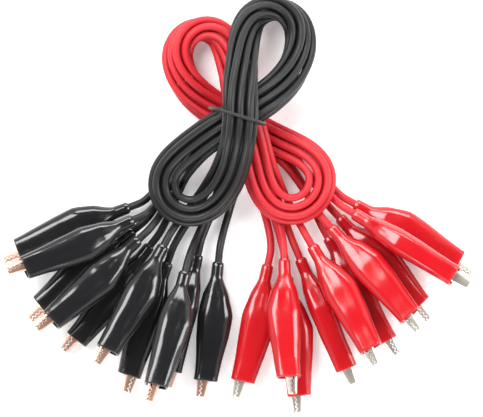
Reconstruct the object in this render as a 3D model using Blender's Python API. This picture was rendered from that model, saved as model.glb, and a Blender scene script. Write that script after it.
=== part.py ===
"""Ten test leads with an alligator clip on each end, tied in one bundle.

Five black and five red leads.  Every cord makes two passes of a figure-eight hank,
and one twist tie holds both hanks where they cross.  The twenty clips fan out on
the surface.  Lead black 1 is modelled down to its last piece: boot, fixed jaw,
moving jaw, rivet, torsion spring and stripped conductor at each end.

Axes: +Z up, the clips point towards -Y, the origin is under the middle of the clips.
"""

import math

import bmesh
import bpy
from mathutils import Matrix, Vector

MM = 0.001
GAP = 0.3                      # clearance between neighbouring pieces, mm

# Cord and hank, mm
CORD_DIAMETER = 2.6
CORD_PITCH = 3.15              # spacing of cords that lie side by side
ROW_HEIGHT = CORD_PITCH * math.sqrt(3) / 2
GUIDE_STEPS = 30               # cord points on one lap of the figure eight
TAIL_STEPS = 6                 # cord points on each free end
TAIL_START = 1.35              # guide points past the crossing where a free end leaves the hank
TWIST_START, TWIST_END = 0.2, 10.2     # guide points between which the bundle turns
TWIST_EASED = 0.3              # share of that turn that starts and ends softly
SLEEVE_RUN = 3.0               # straight cord at each sleeve
TAIL_LOW_AT = 0.62             # fraction of a free end where it lies lowest
TAIL_LOW_FLOOR, TAIL_LOW_UPPER = 2.4, 5.8
TAIL_UPPER_LIFT = 4.0          # extra rise of an upper free end as it leaves the hank
TAIL_LEAVE, TAIL_ARRIVE = 0.34, 0.22   # how far a free end keeps its heading, as fractions

# Clip, mm.  Local x runs to the tip with 0 at the boot's mouth, y is the way the
# jaw opens, z is the hinge axis.
BOOT_LENGTH = 41.0
WALL = 0.85
CORNER_STRETCH = 1.2           # a corner's cut along the hinge axis, against its share
BORE_START = -34.0             # where the sleeve's bore opens into the cavity
TIP_X = 5.5
PIVOT_X, PIVOT_Y = -19.0, 1.0
SEAM_Y = -1.5
JAW_WIDTH, NOSE_NARROWING = 2.2, 0.6   # half width, and how much less it is at the tip
EAR_REACH, EAR_LOW, EAR_HIGH = 2.2, -2.6, 2.8
EAR_THICKNESS = 0.5
TOOTH_PITCH, TOOTH_HEIGHT, TOOTH_COUNT = 1.5, 0.7, 3
RIVET_RADIUS, RIVET_LENGTH = 0.85, 6.2
BORE_TOOL_LENGTH = 9.0         # cutter that goes through both ears
SPRING_SLOT = ((-4.5, -3.0, -1.4), (4.5, 7.0, 1.4))    # from the pivot's x; y and z of the clip
SPRING_RADIUS, SPRING_WIRE, SPRING_TURNS = 1.65, 0.55, 3
SPRING_AIR = 0.12              # between turns of the spring
SPRING_STEPS = 12              # points on one turn
SPRING_FIRST_TURN = math.pi * 1.35
CONDUCTOR_RADIUS = 0.65
CONDUCTOR_MIDDLE, CONDUCTOR_LENGTH = -36.0, 9.6

# Boot outline: x, fixed side, moving side, half height, corner share
SLEEVE_CORNER = 0.42
BOOT_SECTIONS = (
    (-BOOT_LENGTH, -2.1, 2.1, 2.1, SLEEVE_CORNER),
    (-35.5, -2.2, 2.2, 2.2, SLEEVE_CORNER),
    (-29.5, -4.2, 5.2, 3.8, 0.40),
    (-22.5, -5.2, 7.0, 4.4, 0.36),
    (-15.0, -5.0, 6.3, 4.4, 0.36),
    (-7.0, -4.5, 5.0, 4.0, 0.34),
    (0.0, -4.3, 4.0, 3.8, 0.26),
)

# Hank guides, mm.  Points 0 to 11 are the top loop, 11 to 22 the bottom loop.
LAP = 22
BLACK_GUIDE = (
    (1.1, 65.8, 32.0), (0.7, 73.3, 31.3), (1.4, 82.3, 26.0), (2.0, 90.8, 18.2),
    (4.4, 98.6, 11.6), (12.0, 102.1, 8.2), (19.6, 98.6, 7.6), (22.0, 90.8, 7.6),
    (20.4, 82.8, 10.8), (15.9, 75.3, 17.0), (8.6, 69.3, 22.4), (0.7, 64.3, 23.3),
    (-7.1, 59.8, 21.9), (-14.1, 54.8, 17.0), (-20.6, 49.8, 13.2), (-25.3, 43.8, 11.4),
    (-24.0, 35.3, 11.0), (-16.1, 31.6, 11.2), (-8.1, 35.3, 13.4), (-3.2, 42.8, 19.0),
    (-0.9, 50.3, 27.3), (0.4, 57.8, 31.5),
)
RED_GUIDE = (
    (2.8, 63.0, 12.7), (0.7, 70.5, 12.7), (-1.0, 78.0, 11.6), (-2.6, 85.5, 9.2),
    (-5.4, 92.3, 7.6), (-11.8, 95.0, 6.9), (-18.3, 92.3, 6.6), (-21.4, 85.5, 6.2),
    (-19.3, 78.0, 6.2), (-14.6, 71.9, 5.2), (-8.4, 67.1, 4.3), (0.1, 62.4, 4.15),
    (8.2, 58.3, 4.2), (15.7, 54.5, 5.4), (23.2, 51.1, 8.4), (28.3, 45.1, 10.6),
    (26.6, 36.6, 11.2), (19.4, 32.5, 11.0), (12.6, 34.5, 10.6), (8.6, 40.7, 10.8),
    (6.9, 47.8, 12.2), (5.2, 55.2, 13.3),
)

LAPS = 1.5                     # from one free end to the other

# Place of each cord in the hank: columns from the middle, rows from the middle
SLOTS = ((-1.0, -1), (0.0, -1), (1.0, -1), (0.5, 0), (1.5, 0))

# Clips: mouth x, y, z in mm, heading, pitch and roll in degrees.
# Roll 0 lays a clip on its side, 90 turns its moving jaw up.
BLACK_CLIPS = (
    (-75.1, 18.8, 4.4, 201, 0, 180), (-72.4, 12.7, 16.9, 204, 9, 0),
    (-67.3, -0.2, 4.4, 219, 0, 180), (-63.2, -5.0, 16.9, 223, 9, 0),
    (-55.0, -11.8, 4.4, 232, 0, 0), (-44.1, -15.2, 16.7, 242, 9, 0),
    (-37.2, -23.9, 4.4, 251, 0, 180), (-27.5, -27.1, 22.3, 256, 12, 0),
    (-22.8, -22.4, 5.2, 257, 0, 90), (-10.9, -25.7, 4.4, 264, 0, 0),
)
RED_CLIPS = (
    (1.8, -26.0, 4.4, 258, 0, 0), (17.1, -24.3, 16.3, 272, 9, 180),
    (21.1, -30.8, 4.4, 276, 0, 0), (37.1, -21.6, 5.2, 293, 0, 90),
    (45.3, -14.5, 17.7, 300, 9, 0), (50.4, -12.4, 4.4, 299, 0, 180),
    (58.5, -3.3, 16.9, 312, 9, 0), (62.3, 0.2, 4.4, 313, 0, 0),
    (73.5, 10.0, 17.6, 328, 9, 90), (75.5, 14.8, 4.4, 331, 0, 0),
)
# Clips on the two ends of leads 1 to 5, by number
BLACK_LEADS = ((10, 1), (9, 3), (7, 5), (8, 2), (6, 4))
RED_LEADS = ((1, 10), (3, 8), (4, 6), (2, 9), (5, 7))
KEY_CLIPS = (10, 1)            # the black clips that are modelled piece by piece

# Wire tie round the black hank where it crosses itself, mm
TIE_THICKNESS = 1.0
TIE_CENTRE = (-0.2, 64.3)
TIE_HEADING = -17.0
TIE_BOTTOM, TIE_TOP = 17.6, 37.2
TIE_HALF_BOTTOM, TIE_HALF_TOP = 10.4, 8.2
TIE_STEPS = 24
TIE_SQUARE_SIDE, TIE_SQUARE_TOP = 0.6, 0.5     # powers under 1 square the loop's corners


def remove_everything():
    for leftover in list(bpy.data.objects):
        bpy.data.objects.remove(leftover, do_unlink=True)


def material(name, colour, roughness, metallic=0.0):
    made = bpy.data.materials.new(name)
    made.use_nodes = True
    shader = made.node_tree.nodes["Principled BSDF"]
    shader.inputs["Base Color"].default_value = (*colour, 1.0)
    shader.inputs["Roughness"].default_value = roughness
    shader.inputs["Metallic"].default_value = metallic
    return made


def new_object(name, data, finish, parent=None, location=(0, 0, 0)):
    made = bpy.data.objects.new(name, data)
    bpy.context.collection.objects.link(made)
    made.data.materials.append(finish)
    made.parent = parent
    made.location = Vector(location) * MM
    return made


def mesh_from(bm, name, smooth_angle=None):
    bmesh.ops.recalc_face_normals(bm, faces=bm.faces)
    mesh = bpy.data.meshes.new(name)
    bm.to_mesh(mesh)
    bm.free()
    if smooth_angle is not None:
        mesh.shade_smooth()
        mesh.set_sharp_from_angle(angle=math.radians(smooth_angle))
    return mesh


# ---------------------------------------------------------------- lofts and profiles

def octagon(x, low, high, half_height, corner):
    """Eight points of a cut-cornered rectangle across the clip at x."""
    cut_y = (high - low) / 2 * corner
    cut_z = half_height * corner * CORNER_STRETCH
    return [
        (x, low + cut_y, -half_height), (x, high - cut_y, -half_height),
        (x, high, -half_height + cut_z), (x, high, half_height - cut_z),
        (x, high - cut_y, half_height), (x, low + cut_y, half_height),
        (x, low, half_height - cut_z), (x, low, -half_height + cut_z),
    ]


def loft(rings, closed=False):
    """Skin rings of points into one body, capped at both ends or joined end to end."""
    bm = bmesh.new()
    rows = [[bm.verts.new(Vector(point) * MM) for point in ring] for ring in rings]
    pairs = list(zip(rows, rows[1:] + rows[:1])) if closed else list(zip(rows, rows[1:]))
    for row, following in pairs:
        count = len(row)
        for k in range(count):
            bm.faces.new((row[k], row[(k + 1) % count],
                          following[(k + 1) % count], following[k]))
    if not closed:
        bm.faces.new(rows[0])
        bm.faces.new(reversed(rows[-1]))
    return bm


def bar(stations, shift=(0.0, 0.0)):
    """A bar of rectangular sections: x, lower edge, upper edge, half width."""
    return loft([[(x - shift[0], low - shift[1], -half), (x - shift[0], high - shift[1], -half),
                  (x - shift[0], high - shift[1], half), (x - shift[0], low - shift[1], half)]
                 for x, low, high, half in stations])


def cutter(name, mesh, parent, location=(0, 0, 0)):
    made = bpy.data.objects.new(name, mesh)
    bpy.context.collection.objects.link(made)
    made.parent = parent
    made.location = Vector(location) * MM
    made.hide_render = True
    made.display_type = "WIRE"
    return made


def boolean(target, operation, tool):
    modifier = target.modifiers.new(operation.title(), "BOOLEAN")
    modifier.operation = operation
    modifier.solver = "EXACT"
    modifier.object = tool


def cylinder_mesh(name, radius, length, sides=16):
    bm = bmesh.new()
    bmesh.ops.create_cone(bm, cap_ends=True, segments=sides, radius1=radius * MM,
                          radius2=radius * MM, depth=length * MM)
    return mesh_from(bm, name, 40)


def box_mesh(name, low, high):
    bm = bmesh.new()
    bmesh.ops.create_cube(bm, size=1.0)
    for vertex in bm.verts:
        for axis in range(3):
            vertex.co[axis] = (high if vertex.co[axis] > 0 else low)[axis] * MM
    return mesh_from(bm, name)


# ---------------------------------------------------------------- clip pieces

def boot_rings(through):
    """Outer rings from the sleeve to the mouth, then the cavity's rings back."""
    outer = [octagon(*section) for section in BOOT_SECTIONS]
    inner = []
    for x, low, high, half, corner in reversed(BOOT_SECTIONS[2:]):
        inner.append(octagon(x, low + WALL, high - WALL, half - WALL, corner))
    bore = CONDUCTOR_RADIUS + GAP
    if through:
        inner.append(octagon(BORE_START, -bore, bore, bore, SLEEVE_CORNER))
        inner.append(octagon(-BOOT_LENGTH, -bore, bore, bore, SLEEVE_CORNER))
    return outer + inner


def boot_mesh(name, through):
    return mesh_from(loft(boot_rings(through), closed=through), name, 50)


def jaw_half_width(x):
    """The jaws narrow evenly from the mouth to the tip."""
    return JAW_WIDTH - NOSE_NARROWING * max(0.0, x) / TIP_X


def teeth(y):
    """Zigzag edge as x and y pairs, from the first tooth to the flat nose."""
    start = TIP_X - 0.4 - TOOTH_COUNT * TOOTH_PITCH
    edge = []
    for k in range(TOOTH_COUNT):
        edge.append((start + k * TOOTH_PITCH, y))
        edge.append((start + (k + 0.5) * TOOTH_PITCH, y + TOOTH_HEIGHT))
    return edge + [(start + TOOTH_COUNT * TOOTH_PITCH, y), (TIP_X, y)]


def fixed_jaw_stations(key_clip):
    """The lower jaw; the key clips' is wider under its ears, the others sink into the boot."""
    top = SEAM_Y - GAP / 2 - TOOTH_HEIGHT / 2
    if key_clip:
        wide = JAW_WIDTH + EAR_THICKNESS + GAP - 0.05
        rear = [(-29.0, -2.6, top, JAW_WIDTH), (-23.0, -2.9, top, wide),
                (-15.0, -2.9, top, wide), (-8.0, -2.9, top, JAW_WIDTH)]
    else:
        rear = [(-30.0, -4.2, top, JAW_WIDTH), (-20.0, -4.8, top, JAW_WIDTH),
                (-5.0, -4.0, top, JAW_WIDTH)]
    return rear + [(x, -3.0, y, jaw_half_width(x)) for x, y in teeth(top)]


def moving_jaw_stations():
    """The upper jaw, with the lever that the boot's hump presses behind the pivot."""
    bottom = SEAM_Y + GAP - TOOTH_HEIGHT / 2
    rear = [(-27.5, 3.0, 3.9, 1.9), (-22.5, 0.2, 4.3, JAW_WIDTH),
            (PIVOT_X, bottom, 4.0, JAW_WIDTH), (-14.0, bottom, 3.2, JAW_WIDTH)]
    return rear + [(x, y, 0.9 - 0.8 * max(0.0, x) / TIP_X, jaw_half_width(x))
                   for x, y in teeth(bottom)]


def place_clip(name, place):
    """Empty that carries one clip, at the middle of the boot's mouth."""
    x, y, z, heading, pitch, roll = place
    frame = bpy.data.objects.new(name, None)
    bpy.context.collection.objects.link(frame)
    turn = (Matrix.Rotation(math.radians(heading), 4, "Z")
            @ Matrix.Rotation(math.radians(-pitch), 4, "Y")
            @ Matrix.Rotation(math.radians(roll), 4, "X"))
    frame.matrix_world = Matrix.Translation(Vector((x, y, z)) * MM) @ turn
    return frame


def add_joined_clip(label, place, rubber, metal, meshes):
    """Boot and fixed jaw in one body, with its moving jaw on the hinge."""
    frame = place_clip(f"{label}_clip", place)
    body = new_object(f"{label}_boot", meshes["boot"], rubber, frame)
    body.data.materials.append(metal)
    boolean(body, "UNION", cutter(f"{label}_jaw_in_boot", meshes["anchored_jaw"], frame))
    new_object(f"{label}_moving_jaw", meshes["moving_jaw"], metal, frame, (PIVOT_X, PIVOT_Y, 0))


def add_key_clip(label, place, finishes, meshes):
    """One clip in all its pieces."""
    frame = place_clip(f"{label}_clip", place)
    pivot = (PIVOT_X, PIVOT_Y, 0.0)
    new_object(f"{label}_boot", meshes["open_boot"], finishes["rubber"], frame)

    fixed = new_object(f"{label}_fixed_jaw", meshes["fixed_jaw"], finishes["metal"], frame)
    for side in (-1, 1):
        ear = cutter(f"{label}_ear_{side + 2}", meshes["ear"], frame,
                     (0, 0, side * (JAW_WIDTH + GAP + EAR_THICKNESS * 0.4)))
        boolean(fixed, "UNION", ear)
    bore = cutter(f"{label}_rivet_bore", meshes["rivet_bore"], frame, pivot)
    boolean(fixed, "DIFFERENCE", bore)

    moving = new_object(f"{label}_moving_jaw", meshes["moving_jaw"].copy(),
                        finishes["metal"], frame, pivot)
    moving.data.materials.clear()
    moving.data.materials.append(finishes["metal"])
    boolean(moving, "DIFFERENCE", cutter(f"{label}_spring_slot", meshes["spring_slot"], frame))
    boolean(moving, "DIFFERENCE", bore)

    new_object(f"{label}_rivet", meshes["rivet"], finishes["steel"], frame, pivot)
    new_object(f"{label}_spring", meshes["spring"], finishes["steel"], frame, pivot)
    conductor = new_object(f"{label}_conductor", meshes["conductor"], finishes["copper"],
                           frame, (CONDUCTOR_MIDDLE, 0, 0))
    conductor.rotation_euler = (0, math.radians(90), 0)


def spring_curve():
    """The turns of the torsion spring round the rivet."""
    height = (SPRING_WIRE + SPRING_AIR) * SPRING_TURNS
    count = SPRING_STEPS * SPRING_TURNS
    points = []
    for k in range(count + 1):
        turn = 2 * math.pi * k / SPRING_STEPS + SPRING_FIRST_TURN
        points.append((SPRING_RADIUS * math.cos(turn), SPRING_RADIUS * math.sin(turn),
                       height * (k / count - 0.5)))
    return tube_curve("spring", points, SPRING_WIRE / 2, 1)


def tube_curve(name, points, radius, resolution, cyclic=False):
    curve = bpy.data.curves.new(name, "CURVE")
    curve.dimensions = "3D"
    curve.bevel_depth = radius * MM
    curve.bevel_resolution = resolution
    curve.use_fill_caps = True
    spline = curve.splines.new("POLY")
    spline.points.add(len(points) - 1)
    spline.use_cyclic_u = cyclic
    for place, point in zip(spline.points, points):
        place.co = (*(Vector(point) * MM), 1.0)
    spline.use_smooth = True
    return curve


# ---------------------------------------------------------------- cords

def ease(value):
    value = min(1.0, max(0.0, value))
    return value * value * (3 - 2 * value)


def guide_point(guide, t):
    """Point of the closed cubic spline that the guide's points steer."""
    first = math.floor(t)
    f = t - first
    a, b, c, d = (Vector(guide[(first + k) % len(guide)]) for k in (-1, 0, 1, 2))
    return ((1 - f) ** 3 * a + (3 * f ** 3 - 6 * f * f + 4) * b
            + (-3 * f ** 3 + 3 * f * f + 3 * f + 1) * c + f ** 3 * d) / 6


def hank_twist(t, laps):
    """Half a turn of the whole bundle in each top loop, so cords trade places."""
    share = min(1.0, max(0.0, (t - laps * LAP - TWIST_START) / (TWIST_END - TWIST_START)))
    return math.pi * (laps + TWIST_EASED * ease(share) + (1 - TWIST_EASED) * share)


def hank_point(guide, slot, t, side):
    """Place of one cord of the hank at guide parameter t."""
    nudge = 0.001
    along = (guide_point(guide, t + nudge) - guide_point(guide, t - nudge)).normalized()
    across = Vector((-along.y, along.x, 0)).normalized()
    up = along.cross(across)
    angle = side * hank_twist(t, max(0, math.floor(t / LAP)))
    column = slot[0] * CORD_PITCH * side
    row = slot[1] * ROW_HEIGHT
    offset_across = math.cos(angle) * column - math.sin(angle) * row
    offset_up = math.sin(angle) * column + math.cos(angle) * row
    return guide_point(guide, t) + offset_across * across + offset_up * up


def hermite(share, start, end, slope_start, slope_end):
    s2, s3 = share * share, share ** 3
    return ((2 * s3 - 3 * s2 + 1) * start + (s3 - 2 * s2 + share) * slope_start
            + (3 * s2 - 2 * s3) * end + (s3 - s2) * slope_end)


def sleeve_end(place):
    """Middle of the sleeve's end face and the direction out of it."""
    x, y, z, heading, pitch, _ = place
    turn = math.radians(heading)
    lean = math.radians(pitch)
    inward = Vector((math.cos(turn) * math.cos(lean), math.sin(turn) * math.cos(lean),
                     math.sin(lean)))
    return Vector((x, y, z)) - inward * (BOOT_LENGTH + GAP), -inward


def tail_points(leaving, heading, place, upper):
    """Free end from the hank to its clip's sleeve, without its first point."""
    face, outward = sleeve_end(place)
    end = face + outward * SLEEVE_RUN
    flat = Vector((heading.x, heading.y)).normalized()
    out = Vector((outward.x, outward.y)).normalized()
    start_xy, end_xy = leaving.to_2d(), end.to_2d()
    reach = (end_xy - start_xy).length
    second, third = start_xy + flat * TAIL_LEAVE * reach, end_xy + out * TAIL_ARRIVE * reach
    slope = heading.z / Vector((heading.x, heading.y)).length * 3 * TAIL_LEAVE * reach
    end_slope = -outward.z * 3 * TAIL_ARRIVE * reach
    low = TAIL_LOW_UPPER if upper else TAIL_LOW_FLOOR
    if upper:
        slope += TAIL_UPPER_LIFT
    points = []
    for k in range(1, TAIL_STEPS + 1):
        s = k / TAIL_STEPS
        xy = ((1 - s) ** 3 * start_xy + 3 * (1 - s) ** 2 * s * second
              + 3 * (1 - s) * s * s * third + s ** 3 * end_xy)
        if s < TAIL_LOW_AT:
            z = hermite(s / TAIL_LOW_AT, leaving.z, low, slope * TAIL_LOW_AT, 0)
        else:
            rest = 1 - TAIL_LOW_AT
            z = hermite((s - TAIL_LOW_AT) / rest, low, end.z, 0, end_slope * rest)
        points.append(Vector((xy.x, xy.y, z)))
    return points + [face]


def lead_route(guide, slot, side, first_clip, last_clip, upper):
    """All points of one cord, from the first clip's sleeve to the last one's."""
    step = LAP / GUIDE_STEPS
    begin = -TAIL_START
    count = round((LAPS * LAP + 2 * TAIL_START) / step)
    hank = [hank_point(guide, slot, begin + k * step, side) for k in range(count + 1)]
    nudge = 0.02
    start_heading = (hank[0] - hank_point(guide, slot, begin + nudge, side)).normalized()
    end = begin + count * step
    end_heading = (hank[-1] - hank_point(guide, slot, end - nudge, side)).normalized()
    first = tail_points(hank[0], start_heading, first_clip, upper)
    last = tail_points(hank[-1], end_heading, last_clip, upper)
    return first[::-1] + hank + last


def add_leads(colour, guide, clips, leads, side, finish):
    for number, (slot, (first, last)) in enumerate(zip(SLOTS, leads), start=1):
        points = lead_route(guide, slot, side, clips[first - 1], clips[last - 1],
                            upper=slot[1] == 0)
        name = f"{colour}_cord_{number}"
        new_object(name, tube_curve(name, points, CORD_DIAMETER / 2, 2), finish)


def add_tie(finish):
    """Closed loop of wire round both passes of the black hank, wider below."""
    turn = math.radians(TIE_HEADING)
    middle = (TIE_BOTTOM + TIE_TOP) / 2
    half_height = (TIE_TOP - TIE_BOTTOM) / 2
    points = []
    for k in range(TIE_STEPS):
        angle = 2 * math.pi * (k + 0.5) / TIE_STEPS
        sideways = math.copysign(abs(math.cos(angle)) ** TIE_SQUARE_SIDE, math.cos(angle))
        rise = math.copysign(abs(math.sin(angle)) ** TIE_SQUARE_TOP, math.sin(angle))
        half = TIE_HALF_BOTTOM + (TIE_HALF_TOP - TIE_HALF_BOTTOM) * (rise + 1) / 2
        points.append((TIE_CENTRE[0] + half * sideways * math.cos(turn),
                       TIE_CENTRE[1] + half * sideways * math.sin(turn),
                       middle + half_height * rise))
    new_object("bundle_tie", tube_curve("bundle_tie", points, TIE_THICKNESS / 2, 2, True), finish)


# ---------------------------------------------------------------- assembly

def clip_meshes():
    """Shapes that the clips share."""
    half_ear = EAR_THICKNESS / 2
    slot_low, slot_high = ((PIVOT_X + x, y, z) for x, y, z in SPRING_SLOT)
    return {
        "boot": boot_mesh("boot", through=False),
        "open_boot": boot_mesh("open_boot", through=True),
        "fixed_jaw": mesh_from(bar(fixed_jaw_stations(key_clip=True)), "fixed_jaw"),
        "anchored_jaw": mesh_from(bar(fixed_jaw_stations(key_clip=False)), "anchored_jaw"),
        "moving_jaw": mesh_from(bar(moving_jaw_stations(), (PIVOT_X, PIVOT_Y)), "moving_jaw"),
        "ear": box_mesh("ear", (PIVOT_X - EAR_REACH, EAR_LOW, -half_ear),
                        (PIVOT_X + EAR_REACH, EAR_HIGH, half_ear)),
        "rivet_bore": cylinder_mesh("rivet_bore", RIVET_RADIUS + GAP, BORE_TOOL_LENGTH),
        "spring_slot": box_mesh("spring_slot", slot_low, slot_high),
        "rivet": cylinder_mesh("rivet", RIVET_RADIUS, RIVET_LENGTH),
        "spring": spring_curve(),
        "conductor": cylinder_mesh("conductor", CONDUCTOR_RADIUS, CONDUCTOR_LENGTH, 10),
    }


def main():
    remove_everything()
    black = material("black_vinyl", (0.012, 0.012, 0.014), 0.25)
    red = material("red_vinyl", (0.75, 0.02, 0.03), 0.3)
    black_cable = material("black_cable", (0.02, 0.02, 0.022), 0.45)
    red_cable = material("red_cable", (0.78, 0.04, 0.05), 0.45)
    coppered = material("coppered_steel", (0.72, 0.42, 0.30), 0.3, 1.0)
    nickel = material("nickel_plate", (0.75, 0.68, 0.60), 0.3, 1.0)
    steel = material("spring_steel", (0.6, 0.6, 0.62), 0.35, 1.0)
    copper = material("copper_strand", (0.8, 0.4, 0.25), 0.35, 1.0)
    tie = material("tie_plastic", (0.02, 0.02, 0.02), 0.4)

    meshes = clip_meshes()
    finishes = {"rubber": black, "metal": coppered, "steel": steel, "copper": copper}
    for number, place in enumerate(BLACK_CLIPS, start=1):
        if number in KEY_CLIPS:
            add_key_clip(f"black_{number}", place, finishes, meshes)
        else:
            add_joined_clip(f"black_{number}", place, black, coppered, meshes)
    red_meshes = {**meshes, "boot": meshes["boot"].copy(),
                  "moving_jaw": meshes["moving_jaw"].copy()}
    for key in ("boot", "moving_jaw"):
        red_meshes[key].materials.clear()
    for number, place in enumerate(RED_CLIPS, start=1):
        add_joined_clip(f"red_{number}", place, red, nickel, red_meshes)
    add_leads("black", BLACK_GUIDE, BLACK_CLIPS, BLACK_LEADS, 1, black_cable)
    add_leads("red", RED_GUIDE, RED_CLIPS, RED_LEADS, -1, red_cable)
    add_tie(tie)


if __name__ == "__main__":
    main()
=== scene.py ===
"""The finished look of ten test leads, tied in one bundle with a clip on every end.

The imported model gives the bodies, joints and material slots.  This script builds the
smooth cords, the dipped boots, the stamped jaws and the small steel parts round it,
in the same places, and dresses them with procedural materials.
"""

import logging
import math
import random
from collections.abc import Sequence
from dataclasses import dataclass, field
from enum import Enum

import bmesh
import bpy
from mathutils import Matrix, Vector, noise


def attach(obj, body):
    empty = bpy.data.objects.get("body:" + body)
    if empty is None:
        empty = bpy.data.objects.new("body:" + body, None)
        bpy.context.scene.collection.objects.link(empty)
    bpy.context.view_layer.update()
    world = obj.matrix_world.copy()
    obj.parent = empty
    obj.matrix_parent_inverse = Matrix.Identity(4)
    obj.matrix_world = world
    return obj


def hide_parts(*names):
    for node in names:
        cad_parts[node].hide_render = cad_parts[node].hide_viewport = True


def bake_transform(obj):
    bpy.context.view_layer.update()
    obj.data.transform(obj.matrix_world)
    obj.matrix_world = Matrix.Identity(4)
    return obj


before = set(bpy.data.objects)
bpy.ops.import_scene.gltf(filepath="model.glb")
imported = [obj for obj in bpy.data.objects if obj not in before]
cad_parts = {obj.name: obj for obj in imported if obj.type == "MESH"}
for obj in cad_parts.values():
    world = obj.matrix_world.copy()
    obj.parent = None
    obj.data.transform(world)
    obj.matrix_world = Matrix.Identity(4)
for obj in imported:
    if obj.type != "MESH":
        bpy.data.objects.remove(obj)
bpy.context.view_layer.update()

MM = 0.001
TAU = 2 * math.pi
BODY_ROOT = "root"

log = logging.getLogger("test_leads")

Point = tuple[float, float, float]
Colour = tuple[float, float, float]
Place = tuple[float, float, float, float, float, float]


class Team(Enum):
    """The two colours of lead in the bundle."""

    BLACK = "black"
    RED = "red"


# ------------------------------------------------------------------ shader arithmetic


@dataclass(frozen=True)
class Signal:
    """What leaves a node's socket, with arithmetic for its numbers."""

    shader: "Shader"
    socket: bpy.types.NodeSocket

    def _maths(self, operation: str, first: "Signal | float", second: "Signal | float") -> "Signal":
        """One Math node on two numbers."""
        return self.shader.node("ShaderNodeMath", {"operation": operation}, {0: first, 1: second})

    def __add__(self, other: "Signal | float") -> "Signal":
        """This plus other."""
        return self._maths("ADD", self, other)

    def __radd__(self, other: float) -> "Signal":
        """A number plus this."""
        return self._maths("ADD", other, self)

    def __rsub__(self, other: float) -> "Signal":
        """A number less this."""
        return self._maths("SUBTRACT", other, self)

    def __mul__(self, other: "Signal | float") -> "Signal":
        """This times other."""
        return self._maths("MULTIPLY", self, other)


class Shader:
    """One material's node tree and its principled shader."""

    def __init__(self, name: str) -> None:
        """Start an empty principled material.

        Args:
            name: The material's name.
        """
        self.material = bpy.data.materials.new(name)
        self.material.use_nodes = True
        self.nodes = self.material.node_tree.nodes
        self.links = self.material.node_tree.links
        self.surface = self.nodes["Principled BSDF"]

    def node(self, kind: str, settings: dict, inputs: dict, output: int | str = 0) -> Signal:
        """Add any node: its settings first, then what its sockets hold.

        Args:
            kind: The node's type.
            settings: Properties of the node, and "stops" for a ramp's positions and greys.
            inputs: Numbers, tuples or signals by socket name or number.
            output: Socket that the result leaves from.

        Returns:
            The signal from that socket.
        """
        made = self.nodes.new(kind)
        for key, value in settings.items():
            if key == "stops":
                self._set_stops(made.color_ramp, value)
            else:
                setattr(made, key, value)
        for key, value in inputs.items():
            self._feed(made.inputs[key], value)
        return Signal(self, made.outputs[output])

    @staticmethod
    def _set_stops(ramp: bpy.types.ColorRamp, stops: Sequence[tuple[float, float]]) -> None:
        """Give a ramp its positions and greys."""
        while len(ramp.elements) < len(stops):
            ramp.elements.new(1.0)
        for element, (position, grey) in zip(ramp.elements, stops):
            element.position = position
            element.color = (grey, grey, grey, 1.0)

    def _feed(self, socket: bpy.types.NodeSocket, value: "Signal | float | tuple") -> None:
        """Link a signal to a socket, or set its number or colour."""
        if isinstance(value, Signal):
            self.links.new(value.socket, socket)
        elif isinstance(value, tuple) and socket.type == "RGBA":
            socket.default_value = (*value[:3], 1.0)
        else:
            socket.default_value = value

    def dress(self, **sockets: "Signal | float | tuple") -> bpy.types.Material:
        """Set the principled shader's sockets, an underscore standing for a space.

        Args:
            sockets: Values or signals by socket name.

        Returns:
            The finished material.
        """
        for name, value in sockets.items():
            self._feed(self.surface.inputs[name.replace("_", " ")], value)
        return self.material

    def attribute(self, name: str) -> Signal:
        """A vector that the mesh carries at its points."""
        return self.node("ShaderNodeAttribute", {"attribute_name": name}, {}, "Vector")

    def scaled(self, vector: Signal, factors: Point) -> Signal:
        """A vector with each part multiplied."""
        return self.node("ShaderNodeVectorMath", {"operation": "MULTIPLY"}, {0: vector, 1: factors})

    def part(self, vector: Signal, axis: str) -> Signal:
        """The X, Y or Z part of a vector."""
        return self.node("ShaderNodeSeparateXYZ", {}, {"Vector": vector}, axis)

    def grain(self, vector: Signal, scale: float, detail: float = 3.0, rough: float = 0.5) -> Signal:
        """Soft noise from 0 to 1."""
        inputs = {"Vector": vector, "Scale": scale, "Detail": detail, "Roughness": rough}
        return self.node("ShaderNodeTexNoise", {}, inputs)

    def stepped(self, value: Signal, stops: Sequence[tuple[float, float]]) -> Signal:
        """A number led through a ramp of greys."""
        return self.node("ShaderNodeValToRGB", {"stops": stops}, {"Fac": value})

    def blend(self, factor: Signal, first: "Signal | Colour", second: "Signal | Colour") -> Signal:
        """One colour turning into another."""
        return self.node("ShaderNodeMix", {"data_type": "RGBA"}, {0: factor, 6: first, 7: second}, 2)

    def bump(self, height: Signal, strength: float, distance: float) -> Signal:
        """Relief on the surface, its distance in metres."""
        inputs = {"Height": height, "Strength": strength, "Distance": distance}
        return self.node("ShaderNodeBump", {}, inputs)


# ------------------------------------------------------------------ finishes


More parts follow.
